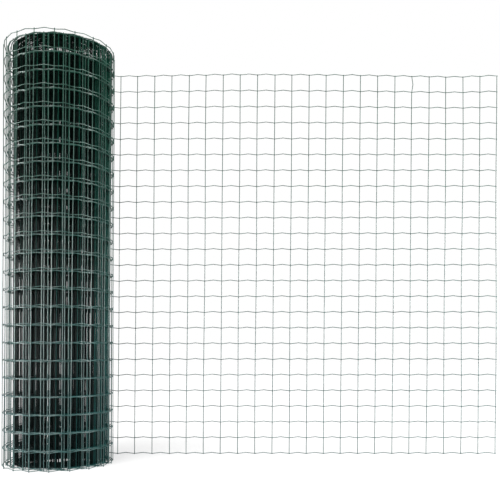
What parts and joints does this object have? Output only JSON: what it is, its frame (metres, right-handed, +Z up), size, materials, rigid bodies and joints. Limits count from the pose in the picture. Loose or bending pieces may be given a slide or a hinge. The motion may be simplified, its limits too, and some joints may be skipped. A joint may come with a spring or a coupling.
{
  "type": "roll of welded wire fencing",
  "caption": "Upright roll of green coated welded wire mesh, with its outer stretch unrolled flat from the back of the coil to a free end.",
  "frame": {"origin": "on the coil's axis at floor level, which is the lower end of the core bore", "axes": "+Z up along the coil's axis, +X along the flat stretch towards its free end, +Y towards the back, where the flat stretch leaves the coil"},
  "size_m": [1.5113, 0.33, 1.205],
  "materials": {
    "coated_wire": "semi-gloss dark green plastic coating over steel wire"
  },
  "bodies": {
    "root": {"mesh_coil": "coated_wire", "flat_mesh_near_coil": "coated_wire", "flat_mesh_free_end": "coated_wire"}
  },
  "joints": []
}
